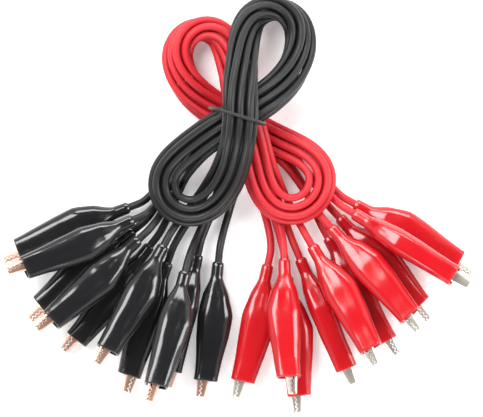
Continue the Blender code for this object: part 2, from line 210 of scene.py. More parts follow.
@dataclass(frozen=True)
class DippedVinyl:
    """Glossy soft vinyl of the boots, a little wavy from its mould.

    Args:
        name: Material name.
        colour: Colour of the thick film.
        bloom: Paler colour where the film is stretched or rubbed.
        roughness: Roughness of clean film.
        coat: Weight of the clear skin.
    """

    name: str
    colour: Colour
    bloom: Colour
    roughness: float
    coat: float

    def make(self) -> bpy.types.Material:
        """Build the material.

        Returns:
            A material that reads the boot's own coordinates in millimetres.
        """
        shader = Shader(self.name)
        place = shader.attribute("clip_place")
        cloud = shader.grain(shader.scaled(place, (0.05, 0.12, 0.12)), 1.6, 2.0)
        smear = shader.grain(shader.scaled(place, (0.10, 0.7, 0.7)), 1.0, 4.0, 0.6)
        pores = shader.grain(place, 2.6, 4.0, 0.65)
        rubbed = shader.stepped(shader.part(place, "X") * 0.02 + 1.0, ((0.962, 0.0), (0.998, 1.0)))
        worn = rubbed * pores
        specks = shader.node("ShaderNodeTexVoronoi", {"feature": "F1"}, {"Vector": place, "Scale": 0.9})
        dust = shader.stepped(specks, ((0.02, 1.0), (0.055, 0.0)))
        toned = shader.blend(cloud * 0.35 + worn * 0.25, self.colour, self.bloom)
        dusty = shader.blend(dust * 0.10, toned, (0.55, 0.53, 0.50))
        waves = shader.bump(cloud, 0.35, 0.6 * MM)
        film = {"Height": smear * 0.4 + pores * 0.12, "Strength": 0.16,
                "Distance": 0.12 * MM, "Normal": waves}
        relief = shader.node("ShaderNodeBump", {}, film)
        return shader.dress(
            Base_Color=dusty,
            Roughness=self.roughness + smear * 0.10 + worn * 0.18 + dust * 0.12,
            Normal=relief,
            Coat_Weight=self.coat - worn * 0.2,
            Coat_Roughness=0.08,
            IOR=1.53,
        )


@dataclass(frozen=True)
class CordVinyl:
    """Satin vinyl jacket of the cords, with lengthwise drawing lines.

    Args:
        name: Material name.
        colour: Colour of the jacket.
        bloom: Paler colour of its dull film.
        roughness: Roughness of the jacket.
        specular: Strength of its shine.
    """

    name: str
    colour: Colour
    bloom: Colour
    roughness: float
    specular: float = 0.38

    def make(self) -> bpy.types.Material:
        """Build the material.

        Returns:
            A material that reads the cord's length in millimetres and its turn.
        """
        shader = Shader(self.name)
        run = shader.attribute("cord_run")
        lines = shader.grain(shader.scaled(run, (0.02, 5.0, 5.0)), 1.4, 3.0, 0.6)
        film = shader.grain(shader.scaled(run, (0.06, 0.9, 0.9)), 1.0, 3.0)
        pores = shader.grain(shader.scaled(run, (1.0, 2.2, 2.2)), 2.4, 4.0, 0.6)
        toned = shader.blend(film * 0.55 + pores * 0.15, self.colour, self.bloom)
        height = lines * 0.5 + pores * 0.25 + film * 0.6
        return shader.dress(
            Base_Color=toned,
            Roughness=self.roughness + lines * 0.10 + pores * 0.08,
            Normal=shader.bump(height, 0.30, 0.10 * MM),
            Specular_IOR_Level=self.specular,
        )


@dataclass(frozen=True)
class StampedPlate:
    """Plated sheet steel of the jaws, brushed along and worn at its teeth.

    Args:
        name: Material name.
        plating: Colour of the plating.
        bright: Paler colour mixed into the plating at random blotches, a painted highlight.
        bared: Colour of the metal that shows at worn edges.
        roughness: Roughness of clean plating.
    """

    name: str
    plating: Colour
    bright: Colour
    bared: Colour
    roughness: float

    def make(self) -> bpy.types.Material:
        """Build the material.

        Returns:
            A material that reads the clip's own coordinates in millimetres.
        """
        shader = Shader(self.name)
        place = shader.attribute("clip_place")
        brushed = shader.grain(shader.scaled(place, (0.25, 3.2, 3.2)), 1.5, 4.0, 0.65)
        blotch = shader.grain(place, 0.9, 3.0, 0.55)
        pits = shader.grain(place, 5.0, 2.0)
        nose = shader.stepped(shader.part(place, "X") * 0.1, ((0.30, 0.0), (0.56, 1.0)))
        worn = nose * blotch
        # The plating mixed at random blotches with the paler bright colour: a painted highlight.
        toned = shader.blend(blotch * 0.8, self.plating, self.bright)
        bared = shader.blend(worn * 0.7, toned, self.bared)
        return shader.dress(
            Base_Color=bared,
            Metallic=1.0,
            Roughness=self.roughness + brushed * 0.10 + worn * 0.10,
            Normal=shader.bump(brushed * 0.6 + pits * 0.4, 0.22, 0.05 * MM),
        )


@dataclass(frozen=True)
class DrawnMetal:
    """Wire, rivet or strand: drawn metal with fine rings and a stain.

    Args:
        name: Material name.
        colour: Colour of the metal.
        stain: Colour of its stain.
        roughness: Roughness of clean metal.
        ring_scale: Rings to a millimetre along the clip.
    """

    name: str
    colour: Colour
    stain: Colour
    roughness: float
    ring_scale: float

    def make(self) -> bpy.types.Material:
        """Build the material.

        Returns:
            A material that reads the clip's own coordinates in millimetres.
        """
        shader = Shader(self.name)
        place = shader.attribute("clip_place")
        rings = shader.grain(shader.scaled(place, (self.ring_scale, 0.4, 0.4)), 2.0, 3.0)
        blotch = shader.grain(place, 1.6, 4.0, 0.6)
        tarnish = shader.stepped(blotch, ((0.45, 0.0), (0.72, 1.0)))
        return shader.dress(
            Base_Color=shader.blend(tarnish * 0.7, self.colour, self.stain),
            Metallic=1.0,
            Roughness=self.roughness + tarnish * 0.2 + rings * 0.08,
            Normal=shader.bump(rings + blotch * 0.5, 0.25, 0.05 * MM),
        )


@dataclass(frozen=True)
class PalePaper:
    """Matt pale sweep under the bundle.

    Args:
        name: Material name.
        colour: Colour of the paper.
        lift: Light that comes through it from below.
    """

    name: str
    colour: Colour
    lift: float = 0.22

    def make(self) -> bpy.types.Material:
        """Build the material, with the faint tooth of paper.

        Returns:
            A matt material.
        """
        shader = Shader(self.name)
        spot = shader.node("ShaderNodeTexCoord", {}, {}, "Object")
        tooth = shader.grain(spot, 900.0, 3.0, 0.6)
        return shader.dress(Base_Color=self.colour, Roughness=0.8 + tooth * 0.1,
                            Normal=shader.bump(tooth, 0.05, 0.02 * MM),
                            Emission_Color=(1.0, 1.0, 1.0), Emission_Strength=self.lift)


# ------------------------------------------------------------------ mesh helpers


def ease(value: float) -> float:
    """Smooth step from 0 to 1."""
    value = min(1.0, max(0.0, value))
    return value * value * (3 - 2 * value)


def curved(share: float, start: float, end: float, leave: float, arrive: float) -> float:
    """Cubic from start to end, with its slopes there multiplied by its span."""
    square, cube = share * share, share ** 3
    return ((2 * cube - 3 * square + 1) * start + (cube - 2 * square + share) * leave
            + (3 * square - 2 * cube) * end + (cube - square) * arrive)


def turns_of(count: int, shift: float = 0.0) -> list[float]:
    """Evenly spaced angles of one full turn, begun a part of a step on."""
    return [TAU * (k + shift) / count for k in range(count)]


@dataclass
class Skin:
    """Rings of points that become one closed mesh, with a vector kept at each point.

    Args:
        name: Name of the vector attribute that the points carry.
    """

    name: str
    verts: list[Vector] = field(default_factory=list)
    notes: list[Point] = field(default_factory=list)
    faces: list[tuple[int, ...]] = field(default_factory=list)

    def ring(self, points: Sequence[Vector], notes: Sequence[Point] | None = None) -> list[int]:
        """Add one ring of points and return their numbers."""
        first = len(self.verts)
        self.verts.extend(points)
        self.notes.extend(notes if notes is not None else [tuple(p) for p in points])
        return list(range(first, first + len(points)))

    def join(self, one: Sequence[int], other: Sequence[int]) -> None:
        """Skin two rings of the same count."""
        count = len(one)
        for k in range(count):
            after = (k + 1) % count
            self.faces.append((one[k], one[after], other[after], other[k]))

    def cap(self, ring: Sequence[int], facing_back: bool) -> None:
        """Close a round ring with a fan from its middle."""
        middle = sum((self.verts[k] for k in ring), Vector()) / len(ring)
        hub = self.ring([middle], [self.notes[ring[0]]])[0]
        for k, here in enumerate(ring):
            after = ring[(k + 1) % len(ring)]
            self.faces.append((after, here, hub) if facing_back else (here, after, hub))

    def tube(self, points: Sequence[Vector], radius: float, sides: int, closed: bool = False) -> None:
        """Add a round tube along points, which carries its own length and turn.

        Args:
            points: Centreline in millimetres.
            radius: Radius in millimetres.
            sides: Points round the tube.
            closed: Whether the tube's ends meet.
        """
        count = len(points)
        across = Vector((0, 0, 1))
        rings, length = [], 0.0
        for k, point in enumerate(points):
            before = points[k - 1] if closed or k else point
            after = points[(k + 1) % count] if closed or k < count - 1 else point
            along = (after - before).normalized()
            across = (across - across.dot(along) * along).normalized()
            other = along.cross(across)
            if k:
                length += (point - points[k - 1]).length
            turns = turns_of(sides)
            ring = [point + radius * (math.cos(a) * across + math.sin(a) * other) for a in turns]
            rings.append(self.ring(ring, [(length, math.cos(a), math.sin(a)) for a in turns]))
        for one, other_ring in zip(rings, rings[1:]):
            self.join(one, other_ring)
        if closed:
            self._close_tube(rings[-1], rings[0])
        else:
            self.cap(rings[0], facing_back=True)
            self.cap(rings[-1], facing_back=False)

    def _close_tube(self, last: Sequence[int], first: Sequence[int]) -> None:
        """Join a closed tube's last ring to the nearest turn of its first."""
        count = len(first)
        shift = min(range(count), key=lambda s: (self.verts[first[s]] - self.verts[last[0]]).length)
        self.join(last, [first[(k + shift) % count] for k in range(count)])

    def mesh(self, label: str, sharp: float = 40.0) -> bpy.types.Mesh:
        """Make the mesh in metres.

        Args:
            label: Name of the mesh.
            sharp: Edges that turn more than these degrees stay sharp.

        Returns:
            The mesh with its point vectors.
        """
        made = bpy.data.meshes.new(label)
        made.from_pydata([v * MM for v in self.verts], [], self.faces)
        kept = made.attributes.new(self.name, "FLOAT_VECTOR", "POINT")
        kept.data.foreach_set("vector", [c for note in self.notes for c in note])
        fixed = bmesh.new()
        fixed.from_mesh(made)
        bmesh.ops.recalc_face_normals(fixed, faces=fixed.faces)
        fixed.to_mesh(made)
        fixed.free()
        made.shade_smooth()
        made.set_sharp_from_angle(angle=math.radians(sharp))
        return made


def stand(name: str, mesh: bpy.types.Mesh, finish: bpy.types.Material) -> bpy.types.Object:
    """Put a mesh into the scene with its finish.

    Args:
        name: Piece name.
        mesh: Its mesh.
        finish: Its material.

    Returns:
        The new object.
    """
    made = bpy.data.objects.new(name, mesh)
    bpy.context.scene.collection.objects.link(made)
    mesh.materials.clear()
    mesh.materials.append(finish)
    return made


def carved(mesh: bpy.types.Mesh, cutters: Sequence[bpy.types.Mesh]) -> bpy.types.Mesh:
    """Cut shapes out of a mesh.

    Args:
        mesh: The mesh to cut.
        cutters: Closed meshes in the same coordinates.

    Returns:
        The mesh that is left.
    """
    body = bpy.data.objects.new("carving", mesh)
    bpy.context.scene.collection.objects.link(body)
    tools = []
    for shape in cutters:
        tool = bpy.data.objects.new("cutter", shape)
        bpy.context.scene.collection.objects.link(tool)
        modifier = body.modifiers.new("Cut", "BOOLEAN")
        modifier.operation, modifier.solver, modifier.object = "DIFFERENCE", "EXACT", tool
        tools.append(tool)
    graph = bpy.context.evaluated_depsgraph_get()
    left = bpy.data.meshes.new_from_object(body.evaluated_get(graph), depsgraph=graph)
    for item in [body, *tools]:
        bpy.data.objects.remove(item)
    return left


# ------------------------------------------------------------------ clip


@dataclass(frozen=True)
class ClipSize:
    """Sizes that all pieces of a clip share, in millimetres.

    Local x runs to the tip from the boot's mouth, y is the way the jaw opens and z is
    the hinge axis.
    """

    boot_length: float = 41.0
    tip: float = 5.5
    pivot_x: float = -19.0
    pivot_y: float = 1.0
    seam: float = -1.5
    gap: float = 0.3
    tooth_pitch: float = 1.5
    tooth_height: float = 0.7
    tooth_count: int = 3
    tooth_margin: float = 0.4
    tooth_blunt: float = 0.1
    jaw_half: float = 2.2
    nose_narrowing: float = 0.6

    def teeth(self, edge: float) -> list[tuple[float, float]]:
        """Zigzag edge as x and y pairs, with its points a little blunt."""
        start = self.tip - self.tooth_margin - self.tooth_count * self.tooth_pitch
        blunt = self.tooth_blunt
        line = []
        for k in range(self.tooth_count):
            low, peak = start + k * self.tooth_pitch, start + (k + 0.5) * self.tooth_pitch
            line += [(low + blunt * (k > 0), edge), (peak - blunt, edge + self.tooth_height * 0.9),
                     (peak + blunt, edge + self.tooth_height * 0.9)]
            line.append((low + self.tooth_pitch - blunt, edge))
        return line + [(self.tip - 0.12, edge), (self.tip, edge - 0.1)]

    def width(self, x: float) -> float:
        """Half width of both jaws, narrower towards the tip."""
        return self.jaw_half - self.nose_narrowing * max(0.0, x) / self.tip


@dataclass(frozen=True)
class Boot:
    """Dipped vinyl cover: narrow sleeve, humped grip and open mouth.

    Stations hold x, fixed side, moving side, half height and the corners' cut.
    """

    size: ClipSize
    wall: float = 0.85
    bore: float = 1.42
    sides: int = 64
    steps: int = 54
    bore_from: float = -33.5
    taper: float = 4.0
    lip_steps: int = 8
    ripple: float = 0.12
    pleat: float = 0.22
    pleat_at: float = -28.0
    pleat_width: float = 3.2
    grip_from: float = -36.0
    grip_run: float = 8.0
    sleeve_crisp: float = 7.0
    grip_crisp: float = 9.0
    stations: tuple[tuple[float, ...], ...] = (
        (-41.0, -2.1, 2.1, 2.1, 0.42), (-35.5, -2.2, 2.2, 2.2, 0.42),
        (-29.5, -4.2, 5.2, 3.8, 0.40), (-22.5, -5.2, 7.0, 4.4, 0.36),
        (-15.0, -5.0, 6.3, 4.4, 0.36), (-7.0, -4.5, 5.0, 4.0, 0.34),
        (0.0, -4.3, 4.0, 3.8, 0.26),
    )
    crease: float = 0.55
    blend_low: Point = (-8.0, -3.0, 0.0)
    blend_high: Point = (-6.64, 2.67, 0.0)

    def _slopes(self, column: int) -> list[float]:
        """Slopes that never overshoot at each station."""
        rows = self.stations
        steps = [(b[column] - a[column]) / (b[0] - a[0]) for a, b in zip(rows, rows[1:])]
        inner = [2 * p * q / (p + q) if p * q > 0 else 0.0 for p, q in zip(steps, steps[1:])]
        return [0.0, *inner, steps[-1]]

    def section(self, x: float) -> tuple[float, float, float, float]:
        """Fixed side, moving side, half height and corner cut at x."""
        rows = self.stations
        k = min(len(rows) - 2, max(0, sum(row[0] <= x for row in rows) - 1))
        start, end = rows[k], rows[k + 1]
        span = end[0] - start[0]
        s = min(1.0, max(0.0, (x - start[0]) / span))
        values = []
        for column in range(1, 5):
            slopes = self._slopes(column)
            straight = start[column] + (end[column] - start[column]) * s
            smooth = curved(s, start[column], end[column], span * slopes[k], span * slopes[k + 1])
            values.append(self.crease * straight + (1 - self.crease) * smooth)
        return tuple(values)

    def outline(self, x: float, inset: float) -> list[Vector]:
        """One ring of the boot at x, drawn in from the outer skin by inset.

        Args:
            x: Place along the clip.
            inset: Distance inside the outer skin.

        Returns:
            Points of a soft-cornered octagon.
        """
        low, high, half, cut = self.section(x)
        low, high, half = low + inset, high - inset, half - inset
        centre, reach = (low + high) / 2, (high - low) / 2
        crisp = self.sleeve_crisp + self.grip_crisp * ease((x - self.grip_from) / self.grip_run)
        diagonal = (1 - cut / 2) + (1 - cut * 0.6)
        points = []
        for angle in turns_of(self.sides, 0.5):
            dy, dz = math.cos(angle), math.sin(angle)
            load = abs(dy) ** crisp + abs(dz) ** crisp
            load += ((abs(dy) + abs(dz)) / diagonal) ** crisp
            radius = load ** (-1 / crisp)
            points.append(Vector((x, centre + reach * radius * dy, half * radius * dz)))
        return points

    def bore_ring(self, x: float) -> list[Vector]:
        """Round ring of the sleeve's bore."""
        return [Vector((x, self.bore * math.cos(a), self.bore * math.sin(a)))
                for a in turns_of(self.sides, 0.5)]

    def dented(self, point: Vector, seed: int, dents: Sequence[tuple[Vector, float, float]]) -> Vector:
        """Move a point of the outer skin as the soft film waves and sinks in.

        Args:
            point: Point in the clip's coordinates.
            seed: Clip's number, which picks the waves.
            dents: Middle, radius and depth of each hollow.

        Returns:
            The moved point.
        """
        fade = ease((point.x + 37.0) / 6.0) * ease((0.2 - point.x) / 2.0)
        inward = Vector((0, -point.y, -point.z)).normalized()
        spot = Vector((point.x * 0.13, point.y * 0.22, point.z * 0.22 + seed * 7.3))
        depth = self.ripple * (0.6 + noise.noise(spot))
        shoulder = math.exp(-((point.x - self.pleat_at) / self.pleat_width) ** 2)
        pleats = abs(math.sin(3.1 * math.atan2(point.z, point.y) + seed))
        depth += shoulder * self.pleat * pleats
        for middle, radius, sunk in dents:
            depth += sunk * math.exp(-((point - middle).length / radius) ** 2)
        return point + inward * max(0.0, depth) * fade

    def build(self, seed: int) -> bpy.types.Mesh:
        """Mesh of one boot: outer skin, rounded lip, inner skin and sleeve bore.

        Args:
            seed: Clip's number; every boot has dents of its own.

        Returns:
            The closed shell.
        """
        draw = random.Random(seed)
        dents = [(Vector((draw.uniform(-22, -6), draw.uniform(-3, 4), side * 4.2)),
                  draw.uniform(4.0, 7.0), draw.uniform(0.10, 0.30)) for side in (-1, 1, -1, 1)]
        skin = Skin("clip_place")
        lip = self.wall / 2
        span = self.size.boot_length
        sleeve_lip = (self.stations[0][2] - self.bore) / 2
        rings = [self.outline(-span + sleeve_lip, sleeve_lip)]
        for k in range(1, self.steps + 1):
            x = -span + sleeve_lip + (span - sleeve_lip - lip) * k / self.steps
            rings.append(self.outline(x, 0.0))
        outer = [[self.dented(p, seed, dents) for p in ring] for ring in rings]
        for k in range(1, self.lip_steps):
            turn = math.pi * k / self.lip_steps
            inset = lip * (1 - math.cos(turn))
            outer.append([Vector((-lip + lip * math.sin(turn), p.y, p.z))
                          for p in self.outline(-lip, inset)])
        for k in range(self.steps // 2):
            x = -lip + (self.bore_from + self.taper + lip) * k / (self.steps // 2)
            outer.append(self.outline(x, self.wall))
        outer.append(self.bore_ring(self.bore_from))
        outer.append(self.bore_ring(-span + sleeve_lip))
        numbered = [skin.ring(ring) for ring in outer]
        for one, other in zip(numbered, numbered[1:] + numbered[:1]):
            skin.join(one, other)
        return skin.mesh("boot", 60)


@dataclass(frozen=True)
class StampedJaw:
    """Channel of folded sheet: back, two side walls and a closed nose.

    Args:
        stations: x, back y, wall edge y and half width, from the rear to the tip.
        tip: x of the nose's end.
        sheet: Thickness of the metal.
        fold: Radius of the fold between back and wall.
    """

    stations: tuple[tuple[float, float, float, float], ...]
    tip: float
    sheet: float = 0.42
    fold: float = 0.7
    inner_fold: float = 0.3
    fold_share: float = 0.45
    nose_from: float = 1.1
    nose_run: float = 0.7
    nose_skin: float = 0.12

    def _profile(self, back: float, edge: float, half: float, fold: float) -> list[tuple[float, float]]:
        """Half of a channel's outline as y and z, from the wall's edge to the back's middle."""
        toward = 1 if edge > back else -1
        turns = [math.pi / 2 * k / 4 for k in range(5)]
        bent = [(back + toward * fold * (1 - math.sin(a)), half - fold * (1 - math.cos(a)))
                for a in turns]
        return [(edge, half), *bent, (back, 0.0)]

    def _ring(self, x: float, back: float, edge: float, half: float) -> list[Vector]:
        """Closed outline of the channel at x, filling up into a solid nose at the tip."""
        toward = 1 if edge > back else -1
        closing = ease((x - self.tip + self.nose_from) / self.nose_run)
        floor = back + toward * self.sheet
        floor += (edge - toward * self.nose_skin - floor) * closing
        fold = min(self.fold, abs(edge - back) * self.fold_share)
        tight = min(self.inner_fold, abs(edge - floor) * self.fold_share)
        outer = self._profile(back, edge, half, fold)
        inner = self._profile(floor, edge, half - self.sheet, tight)
        around = outer + [(y, -z) for y, z in reversed(outer[:-1])]
        back_again = [(y, -z) for y, z in inner] + list(reversed(inner[:-1]))
        return [Vector((x, y, z)) for y, z in around + back_again]

    def build(self, label: str) -> bpy.types.Mesh:
        """Mesh of the jaw.

        Args:
            label: Name of the mesh.

        Returns:
            The closed channel.
        """
        skin = Skin("clip_place")
        rings = [skin.ring(self._ring(*station)) for station in self.stations]
        for one, other in zip(rings, rings[1:]):
            skin.join(one, other)
        for ring in (rings[0], rings[-1]):
            half = len(ring) // 2
            for k in range(half - 1):
                skin.faces.append((ring[k], ring[k + 1], ring[-2 - k], ring[-1 - k]))
        return skin.mesh(label, 35)


@dataclass(frozen=True)
class Rivet:
    """Hinge pin with a domed head on each end."""

    size: ClipSize
    radius: float = 0.85
    half_length: float = 3.1
    head_radius: float = 1.25
    head_height: float = 0.45
    head_overlap: float = 0.15
    rim_height: float = 0.08
    rim_step: float = 0.1
    crown_flat: float = 0.2
    sides: int = 24

    def build(self) -> bpy.types.Mesh:
        """Turned mesh of the rivet.

        Returns:
            The rivet in the clip's coordinates.
        """
        base = self.half_length - self.head_overlap
        bends = [math.pi / 2 * k / 6 for k in range(6)]
        crown = [(self.head_radius * math.cos(a), base + self.head_height * math.sin(a)) for a in bends]
        seat = base - self.rim_height
        profile = [(self.radius, 0.0), (self.radius, seat), (self.head_radius - self.rim_step, seat),
                   *crown, (self.crown_flat, base + self.head_height)]
        profile = [(r, -z) for r, z in reversed(profile[1:])] + profile
        skin = Skin("clip_place")
        rings = []
        for radius, z in profile:
            rings.append(skin.ring([Vector((self.size.pivot_x + radius * math.cos(a),
                                            self.size.pivot_y + radius * math.sin(a), z))
                                    for a in turns_of(self.sides)]))
        for one, other in zip(rings, rings[1:]):
            skin.join(one, other)
        skin.cap(rings[0], facing_back=True)
        skin.cap(rings[-1], facing_back=False)
        return skin.mesh("rivet", 40)

    def hole(self, clearance: float) -> bpy.types.Mesh:
        """Round cutter for the rivet's hole in a jaw."""
        made = bmesh.new()
        reach = (self.radius + clearance) * MM
        centre = Vector((self.size.pivot_x, self.size.pivot_y, 0)) * MM
        bmesh.ops.create_cone(made, cap_ends=True, segments=self.sides, radius1=reach, radius2=reach,
                              depth=12 * MM, matrix=Matrix.Translation(centre))
        mesh = bpy.data.meshes.new("hole")
        made.to_mesh(mesh)
        made.free()
        return mesh


@dataclass(frozen=True)
class TorsionSpring:
    """Wire spring wound round the rivet."""

    size: ClipSize
    radius: float = 1.65
    wire: float = 0.55
    turns: int = 3
    air: float = 0.12
    first_turn: float = math.pi * 1.35

    def build(self) -> bpy.types.Mesh:
        """Mesh of the wound wire.

        Returns:
            The spring in the clip's coordinates.
        """
        steps = 28
        height = (self.wire + self.air) * self.turns
        middle = Vector((self.size.pivot_x, self.size.pivot_y, 0))
        points = []
        for k in range(steps * self.turns + 1):
            turn = TAU * k / steps + self.first_turn
            rise = height * (k / (steps * self.turns) - 0.5)
            points.append(middle + Vector((self.radius * math.cos(turn),
                                           self.radius * math.sin(turn), rise)))
        skin = Skin("clip_place")
        skin.tube(points, self.wire / 2, 10)
        return skin.mesh("spring", 60)


@dataclass(frozen=True)
class StrandedCore:
    """Stripped end of the cord: one strand with six laid round it."""

    start: float = -37.6
    end: float = -31.2
    strand: float = 0.21
    spread: float = 2.04
    lay: float = 9.0

    def build(self) -> bpy.types.Mesh:
        """Mesh of the seven strands.

        Returns:
            The strands in the clip's coordinates.
        """
        skin = Skin("clip_place")
        steps = 12
        for number in range(7):
            points = []
            for k in range(steps + 1):
                x = self.start + (self.end - self.start) * k / steps
                turn = TAU * (number / 6 + (x - self.start) / self.lay)
                reach = 0.0 if number == 6 else self.strand * self.spread
                points.append(Vector((x, reach * math.cos(turn), reach * math.sin(turn))))
            skin.tube(points, self.strand, 8)
        return skin.mesh("strands", 60)


@dataclass(frozen=True)
class ClipFinishes:
    """Materials and slots of one colour's clips."""

    vinyl: bpy.types.Material
    plate: bpy.types.Material
    rivet: bpy.types.Material
    spring: bpy.types.Material
    copper: bpy.types.Material
    vinyl_slot: str
    plate_slot: str


@dataclass
class ClipKit:
    """The shapes that every clip is made of."""

    size: ClipSize = field(default_factory=ClipSize)
    wall_clear: float = 0.05

    def __post_init__(self) -> None:
        """Stamp the jaws and turn the small parts once."""
        size = self.size
        self.boot = Boot(size)
        self.rivet = Rivet(size)
        hole = self.rivet.hole(self.wall_clear)
        lower = StampedJaw(self._lower_stations(), size.tip).build("lower_jaw")
        upper = StampedJaw(self._upper_stations(), size.tip).build("upper_jaw")
        self.shapes = {
            "lower_jaw": carved(lower, [hole]),
            "upper_jaw": carved(upper, [hole]),
            "rivet": self.rivet.build(),
            "spring": TorsionSpring(size).build(),
            "strands": StrandedCore().build(),
        }

    def _lower_stations(self) -> tuple[tuple[float, float, float, float], ...]:
        """Lower jaw from its tail, over the hinge ears, to the teeth."""
        size = self.size
        edge = size.seam - size.gap / 2 - size.tooth_height / 2
        ear_top, ear_reach = 2.8, 2.4
        rows = [(-29.0, -2.6, edge, 2.2), (-26.0, -2.75, edge, 2.5), (-23.0, -2.9, edge, 2.95)]
        for k in range(13):
            share = k / 6 - 1
            rise = math.sqrt(max(0.0, 1 - share * share))
            rows.append((size.pivot_x + ear_reach * share, -2.9, edge + (ear_top - edge) * rise, 2.95))
        rows += [(-13.5, -2.9, edge, 2.8), (-8.0, -2.9, edge, 2.2)]
        for x, y in size.teeth(edge):
            rows.append((x, -3.0 + 0.25 * ease(x / size.tip), y, size.width(x)))
        return tuple(rows)

    def _upper_stations(self) -> tuple[tuple[float, float, float, float], ...]:
        """Upper jaw from its lever, past the hinge, to the teeth."""
        size = self.size
        edge = size.seam + size.gap - size.tooth_height / 2
        rows = [(-27.5, 3.9, 3.0, 1.9), (-25.0, 4.15, 1.5, 2.05), (-22.5, 4.3, 0.2, 2.2),
                (-20.6, 4.2, -1.0, 2.2), (size.pivot_x, 4.0, edge, 2.2), (-16.5, 3.6, edge, 2.2),
                (-14.0, 3.2, edge, 2.2), (-8.0, 2.1, edge, 2.2)]
        for x, y in size.teeth(edge):
            rows.append((x, 0.9 - 0.8 * max(0.0, x) / size.tip, y, size.width(x)))
        return tuple(rows)


@dataclass
class Clip:
    """One insulated clip at the end of a lead.

    Args:
        team: Colour of the lead.
        number: Place in the fan, from 1.
        place: Mouth x, y, z in millimetres, then heading, pitch and roll in degrees.
        pieced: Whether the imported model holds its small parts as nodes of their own.
    """

    team: Team
    number: int
    place: Place
    pieced: bool = False

    @property
    def label(self) -> str:
        """Colour and number."""
        return f"{self.team.value}_{self.number}"

    @property
    def matrix(self) -> Matrix:
        """From the clip's coordinates to the frame, in metres."""
        x, y, z, heading, pitch, roll = self.place
        turn = (Matrix.Rotation(math.radians(heading), 4, "Z")
                @ Matrix.Rotation(math.radians(-pitch), 4, "Y")
                @ Matrix.Rotation(math.radians(roll), 4, "X"))
        return Matrix.Translation(Vector((x, y, z)) * MM) @ turn

    def sleeve_end(self, size: ClipSize) -> tuple[Vector, Vector]:
        """Middle of the sleeve's end face in millimetres, and the direction out of it."""
        x, y, z, heading, pitch, _ = self.place
        turn, lean = math.radians(heading), math.radians(pitch)
        inward = Vector((math.cos(turn) * math.cos(lean), math.sin(turn) * math.cos(lean),
                         math.sin(lean)))
        return Vector((x, y, z)) - inward * (size.boot_length + size.gap), -inward

    def _piece(self, name: str, mesh: bpy.types.Mesh, finish: bpy.types.Material) -> bpy.types.Object:
        """Stand one piece of the clip in its place."""
        piece = stand(f"{self.label}_{name}", mesh, finish)
        piece.data.transform(self.matrix)
        return piece

    def build(self, kit: ClipKit, finishes: ClipFinishes) -> None:
        """Make and dress all pieces of the clip.

        Args:
            kit: Shapes of the pieces.
            finishes: Materials of this colour.
        """
        jaw_body = f"{self.label}_jaw"
        seed = self.number + (20 if self.team is Team.RED else 0)
        shell = self._piece("shell", kit.boot.build(seed), finishes.vinyl)
        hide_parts(f"{self.label}_boot")
        start, end = (self.matrix @ (Vector(p) * MM) for p in (kit.boot.blend_low, kit.boot.blend_high))
        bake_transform(shell)

        shapes = {name: mesh.copy() for name, mesh in kit.shapes.items()}
        upper = self._piece("upper_jaw", shapes["upper_jaw"], finishes.plate)
        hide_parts(f"{self.label}_moving_jaw")
        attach(upper, jaw_body)

        lower = self._piece("lower_jaw", shapes["lower_jaw"], finishes.plate)
        pin = self._piece("pin", shapes["rivet"], finishes.rivet)
        coil = self._piece("coil", shapes["spring"], finishes.spring)
        core = self._piece("strands", shapes["strands"], finishes.copper)
        for piece in (lower, pin, coil, core):
            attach(piece, BODY_ROOT)
        if self.pieced:
            for piece, node in ((lower, "fixed_jaw"), (pin, "rivet"), (coil, "spring"),
                                (core, "conductor")):
                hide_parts(f"{self.label}_{node}")
        log.info("clip %s: shell, two jaws, pin, coil and strands", self.label)


# ------------------------------------------------------------------ cords


@dataclass(frozen=True)
class Hank:
    """One colour's figure-eight hank: where its cords run and how they trade places.

    Args:
        guide: Closed line that the middle of the hank follows; 0 to 11 is the top loop.
        side: 1 where the bundle turns to the left in the top loop, -1 to the right.
    """

    guide: tuple[Point, ...]
    side: int
    pitch: float = 3.15
    twist_start: float = 0.2
    twist_end: float = 10.2
    twist_eased: float = 0.3

    @property
    def lap(self) -> int:
        """Guide points of one lap."""
        return len(self.guide)

    def middle(self, t: float) -> Vector:
        """Point of the cubic spline that the guide steers."""
        first = math.floor(t)
        f = t - first
        a, b, c, d = (Vector(self.guide[(first + k) % self.lap]) for k in (-1, 0, 1, 2))
        return ((1 - f) ** 3 * a + (3 * f ** 3 - 6 * f * f + 4) * b
                + (-3 * f ** 3 + 3 * f * f + 3 * f + 1) * c + f ** 3 * d) / 6

    def twist(self, t: float, laps: int) -> float:
        """Turn of the bundle, half a turn in each top loop."""
        span = self.twist_end - self.twist_start
        share = min(1.0, max(0.0, (t - laps * self.lap - self.twist_start) / span))
        return math.pi * (laps + self.twist_eased * ease(share) + (1 - self.twist_eased) * share)

    def point(self, slot: tuple[float, int], t: float) -> Vector:
        """Place of one cord of the hank.

        Args:
            slot: Column and row in the bundle.
            t: Guide parameter.

        Returns:
            The cord's centre in millimetres.
        """
        nudge = 0.001
        along = (self.middle(t + nudge) - self.middle(t - nudge)).normalized()
        across = Vector((-along.y, along.x, 0)).normalized()
        up = along.cross(across)
        angle = self.side * self.twist(t, max(0, math.floor(t / self.lap)))
        column = slot[0] * self.pitch * self.side
        row = slot[1] * self.pitch * math.sqrt(3) / 2
        sideways = math.cos(angle) * column - math.sin(angle) * row
        upward = math.sin(angle) * column + math.cos(angle) * row
        return self.middle(t) + sideways * across + upward * up


